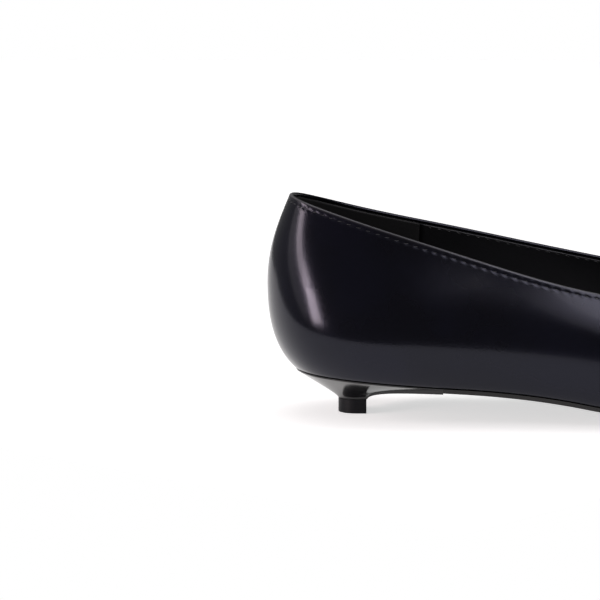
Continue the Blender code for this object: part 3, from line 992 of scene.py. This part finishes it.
calf, at = finish("polished_calf", {"Specular IOR Level": 0.22, "Specular Tint": (0.76, 0.78, 1.0, 1),
                                    "Coat Roughness": 0.06, "Coat IOR": 1.3})
along_edge, below_edge = chart_of(at)
grain = cells(at, GRAIN) * 0.6 + noise(at, 3600.0, 3.0) * 0.4
slow = noise(at, 45.0, 3.0)
# painted highlight: along the fold's crown the base colour turns light grey, for the light the fold catches
# from above; the coat is thickened there too
edge = below_edge.bell(-FOLD / 3, FOLD_HIGHLIGHT_SPREAD)
stitched = below_edge.bell(STITCH_DOWN, PUCKER_WIDTH)
pull = along_edge.node("ShaderNodeMath", {"operation": "SINE"}, {0: along_edge * (2 * np.pi / STITCH_PITCH)})
fine = bump(grain, 0.00005, 0.42)
puckers = stitched.node("ShaderNodeBump", None, {
    "Height": stitched * pull, "Distance": 0.00006, "Strength": 0.8, "Normal": fine})
body_colour = mix_colour(slow.between(0.35, 0.65), BLACK_CALF, NAVY_CALF)
feed(calf, Base_Color=mix_colour(edge, body_colour, FOLD_HIGHLIGHT_GREY), Normal=puckers,
     Roughness=0.13 + slow * 0.06 + stitched * 0.10, Coat_Weight=0.20 - 0.12 * stitched + 0.4 * edge)
upper_leather.data.materials.append(calf)
print("grain of", round(1 / GRAIN / MM, 2), "mm on the calf")

# %% [markdown]
# ## Lining, grip and sock
#
# These are the same kind of thin leather without the polish. The grip round the heel is brushed, so it is
# the dullest of them, which is what makes its front edge readable in the dark of the shoe.

# %% Dull leathers
def dull_leather(name, dark, light, rough, relief, fixed=None):
    """An unpolished leather with fine pores."""
    material, at = finish(name, {"Specular IOR Level": 0.35, **(fixed or {})})
    pores = noise(at, 2600.0, 3.0) * 0.5 + cells(at, 1500.0) * 0.5
    slow = noise(at, 60.0, 2.0)
    feed(material, Base_Color=mix_colour(slow.between(0.3, 0.7), dark, light),
         Roughness=rough + 0.08 * slow, Normal=bump(pores, relief, 0.4))
    return material


quarter_lining.data.materials.append(
    dull_leather("lining_leather", (0.0036, 0.0037, 0.0074, 1), (0.0052, 0.0053, 0.0100, 1), 0.46, 0.00006))
heel_grip.data.materials.append(
    dull_leather("grip_leather", (0.0032, 0.0030, 0.0044, 1), (0.0044, 0.0041, 0.0056, 1), 0.62, 0.00010,
                 {"Sheen Weight": 0.04, "Sheen Roughness": 0.5}))
insole_sock.data.materials.append(
    dull_leather("sock_leather", (0.0075, 0.0070, 0.0072, 1), (0.0100, 0.0095, 0.0098, 1), 0.52, 0.00008))
print("dull leathers: lining, grip and sock")

# %% Thread
thread, at = finish("thread", {"Specular IOR Level": 0.45})
twist = noise(at, 5200.0, 1.0)
feed(thread, Base_Color=mix_colour(twist, (0.004, 0.004, 0.007, 1), (0.016, 0.016, 0.021, 1)),
     Roughness=0.30 + 0.2 * twist, Normal=bump(twist, 0.00004, 0.6))
topline_stitches.data.materials.append(thread)
lining_stitches.data.materials.append(thread)
print("thread, mm thick:", THREAD / MM)

# %% [markdown]
# ## Sole, lacquer and rubber
#
# The sole is dyed black and waxed at its edge. The heel is sprayed with a glossy lacquer, which mirrors the
# table along its cove, and the top piece is plain hard rubber with a moulded skin.

# %% Sole leather
sole_finish, at = finish("sole_leather", {"Specular IOR Level": 0.4})
fibre = noise(at, 900.0, 4.0)
feed(sole_finish, Base_Color=mix_colour(fibre, (0.006, 0.0058, 0.0062, 1), (0.012, 0.0115, 0.0118, 1)),
     Roughness=0.32 + 0.18 * fibre, Normal=bump(fibre, 0.00006, 0.5))
outsole.data.materials.append(sole_finish)
print("sole leather on", outsole.name)

# %% Lacquer
lacquer, at = finish("lacquer", {"Specular IOR Level": 0.38, "Coat Weight": 0.10, "Coat Roughness": 0.06})
ripple = noise(at, 220.0, 1.0)
feed(lacquer, Base_Color=mix_colour(ripple, (0.0030, 0.0030, 0.0036, 1), (0.0042, 0.0042, 0.0050, 1)),
     Roughness=0.13 + 0.05 * ripple, Normal=bump(ripple, 0.00008, 0.25))
heel_lacquer.data.materials.append(lacquer)
print("lacquer on", heel_lacquer.name)

# %% Rubber
rubber, at = finish("top_piece_skin", {"Specular IOR Level": 0.12})
skin_marks = noise(at, 2400.0, 3.0)
feed(rubber, Base_Color=mix_colour(skin_marks, (0.0040, 0.0040, 0.0054, 1), (0.0062, 0.0062, 0.0080, 1)),
     Roughness=0.36 + 0.12 * skin_marks, Normal=bump(skin_marks, 0.00005, 0.5))
top_piece.data.materials.append(rubber)
print("finishes:", sorted(m.name for m in bpy.data.materials))

# %% [markdown]
# ## The studio
#
# The shoe stands on a white table in a room that is dark at eye level. That is what gives polished leather
# its depth: the flanks mirror the dark, and the turn under them mirrors the white table. Three narrow
# softboxes on the left, end to end, draw one long streak down the heel, which gets brighter towards its
# foot. The table is a board lit from below, so that it stays white round the shoe. Two softboxes in front
# lighten the flank ahead of the arch.

# %% The table: a white board lit from below, its front corner close to the shoe
BOARD = [(1.1, -0.115), (0.0, -0.115), (-0.07, -0.20), (-0.26, -0.02), (-0.70, 0.32), (-1.1, 0.6),
         (-1.1, 1.1), (1.1, 1.1)]
BOARD_DROP = 0.0001
BOARD_GLOW = 0.60

bm = bmesh.new()
corners = [bm.verts.new((x, y, -BOARD_DROP)) for x, y in BOARD]
board_face = bmesh.ops.contextual_create(bm, geom=corners)["faces"][0]
board_face.normal_update()
if board_face.normal.z < 0:
    board_face.normal_flip()
board_mesh = bpy.data.meshes.new("table")
bm.to_mesh(board_mesh)
bm.free()
table = bpy.data.objects.new("table", board_mesh)
scene.collection.objects.link(table)
table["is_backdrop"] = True
board_white, at = finish("board_white", {"Specular IOR Level": 0.1, "Roughness": 0.8,
                                         "Emission Color": (1, 1, 1, 1), "Emission Strength": BOARD_GLOW})
feed(board_white, Base_Color=mix_colour(noise(at, 40.0), (0.88, 0.88, 0.88, 1), (0.90, 0.90, 0.90, 1)))
board_mesh.materials.append(board_white)
print("board corners:", len(BOARD))

# %% The room: white to the camera, dark at eye level, bright overhead
ROOM_DARK = 0.028
ROOM_REAR = 0.16          # what the left and the rear of the room add
ROOM_REAR_EDGE = (0.1, 0.9)
REAR_WAY = (0.6, 0.8)     # how far to the left and how far ahead the brighter rear lies
ROOM_BRIGHT = 0.7
ROOM_EDGE = (0.55, 0.95)  # sine of the height at which the room starts and stops getting brighter

world = bpy.data.worlds.new("studio")
world.use_nodes = True
scene.world = world
tree = world.node_tree
facing = make_node(tree, "ShaderNodeTexCoord")
side, ahead, height = (facing.node("ShaderNodeSeparateXYZ", None, {0: facing}, axis) for axis in range(3))
rear = (ahead * REAR_WAY[1] - side * REAR_WAY[0]).between(*ROOM_REAR_EDGE, 0.0, ROOM_REAR)
glow = height.between(*ROOM_EDGE, ROOM_DARK, ROOM_BRIGHT) + rear
seen = make_node(tree, "ShaderNodeLightPath")
level = seen + (1 - seen) * glow
tree.links.new(level.socket, tree.nodes["Background"].inputs["Strength"])
tree.nodes["Background"].inputs["Color"].default_value = (1, 1, 1, 1)
print("the room's glow at eye level and overhead:", ROOM_DARK, "and", ROOM_BRIGHT)


# %% Softboxes
def direction(azimuth, rise):
    """Direction at an azimuth from the camera's side, in degrees, and a height above the horizon."""
    a, e = np.radians(azimuth), np.radians(rise)
    return Vector((np.sin(a) * np.cos(e), -np.cos(a) * np.cos(e), np.sin(e)))


def softbox(name, ends, away, width, glow, colour, target=(-0.11, -0.02, 0.05)):
    """A rectangular light between two directions seen from the target, out of the camera's sight."""
    first, last = (direction(*end) * away for end in ends)
    middle = (first + last) / 2
    facing = middle.normalized()
    long = (last - first).normalized()
    across = long.cross(facing).normalized()
    data = bpy.data.lights.new(name, "AREA")
    data.shape = "RECTANGLE"
    data.size, data.size_y = width, (last - first).length
    data.energy = glow * np.pi * data.size * data.size_y
    data.color = colour
    light = bpy.data.objects.new(name, data)
    turned = Matrix((across, facing.cross(across), facing)).transposed().to_4x4()
    light.matrix_world = Matrix.Translation(middle + Vector(target)) @ turned
    light.visible_camera = False
    scene.collection.objects.link(light)
    print(name, "at", [round(v, 2) for v in light.location], "watts:", round(data.energy, 2))
    return light


STRIP_PINK = (1.0, 0.84, 0.84)
FRONT_WHITE = (1.0, 0.96, 1.0)
FRONT_TARGET = (0.158, 0.0, 0.03)

softbox("strip_foot", ((-54, -7), (-58, 10)), 1.0, 0.20, 19.0, STRIP_PINK)
softbox("strip_middle", ((-58, 10), (-68, 14.5)), 1.0, 0.17, 14.6, STRIP_PINK)
softbox("strip", ((-68, 14.5), (-98, 28)), 1.0, 0.14, 10.4, STRIP_PINK)
softbox("strip_halo", ((-64, -2), (-110, 26)), 1.1, 0.32, 0.9, (0.98, 0.90, 0.90))
softbox("overhead", ((180, 62), (0, 88)), 1.3, 1.1, 1.4, (1.0, 1.0, 1.0), (0.0, 0.0, 0.0))
front = softbox("front", ((0, 22), (0, 60)), 0.42, 0.33, 3.8, FRONT_WHITE, FRONT_TARGET)
front_halo = softbox("front_halo", ((0, 20), (0, 60)), 0.45, 0.40, 1.4, FRONT_WHITE, FRONT_TARGET)
for light in (front, front_halo):
    light.visible_diffuse = False  # flagged off the table, so that it doesn't wash out the shoe's shadow
scene.view_settings.view_transform = "Standard"

# %% [markdown]
# ## Last look at the size
#
# The dressed shoe has to fill the same box as the plain solids. How much the two boxes differ is printed.

# %% Print how the two boxes differ
visual_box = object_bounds()
growth = [round((v - c) / MM, 2) for c, v in zip(cad_box[1] - cad_box[0], visual_box[1] - visual_box[0])]
print("dressed box less plain box, mm:", growth)
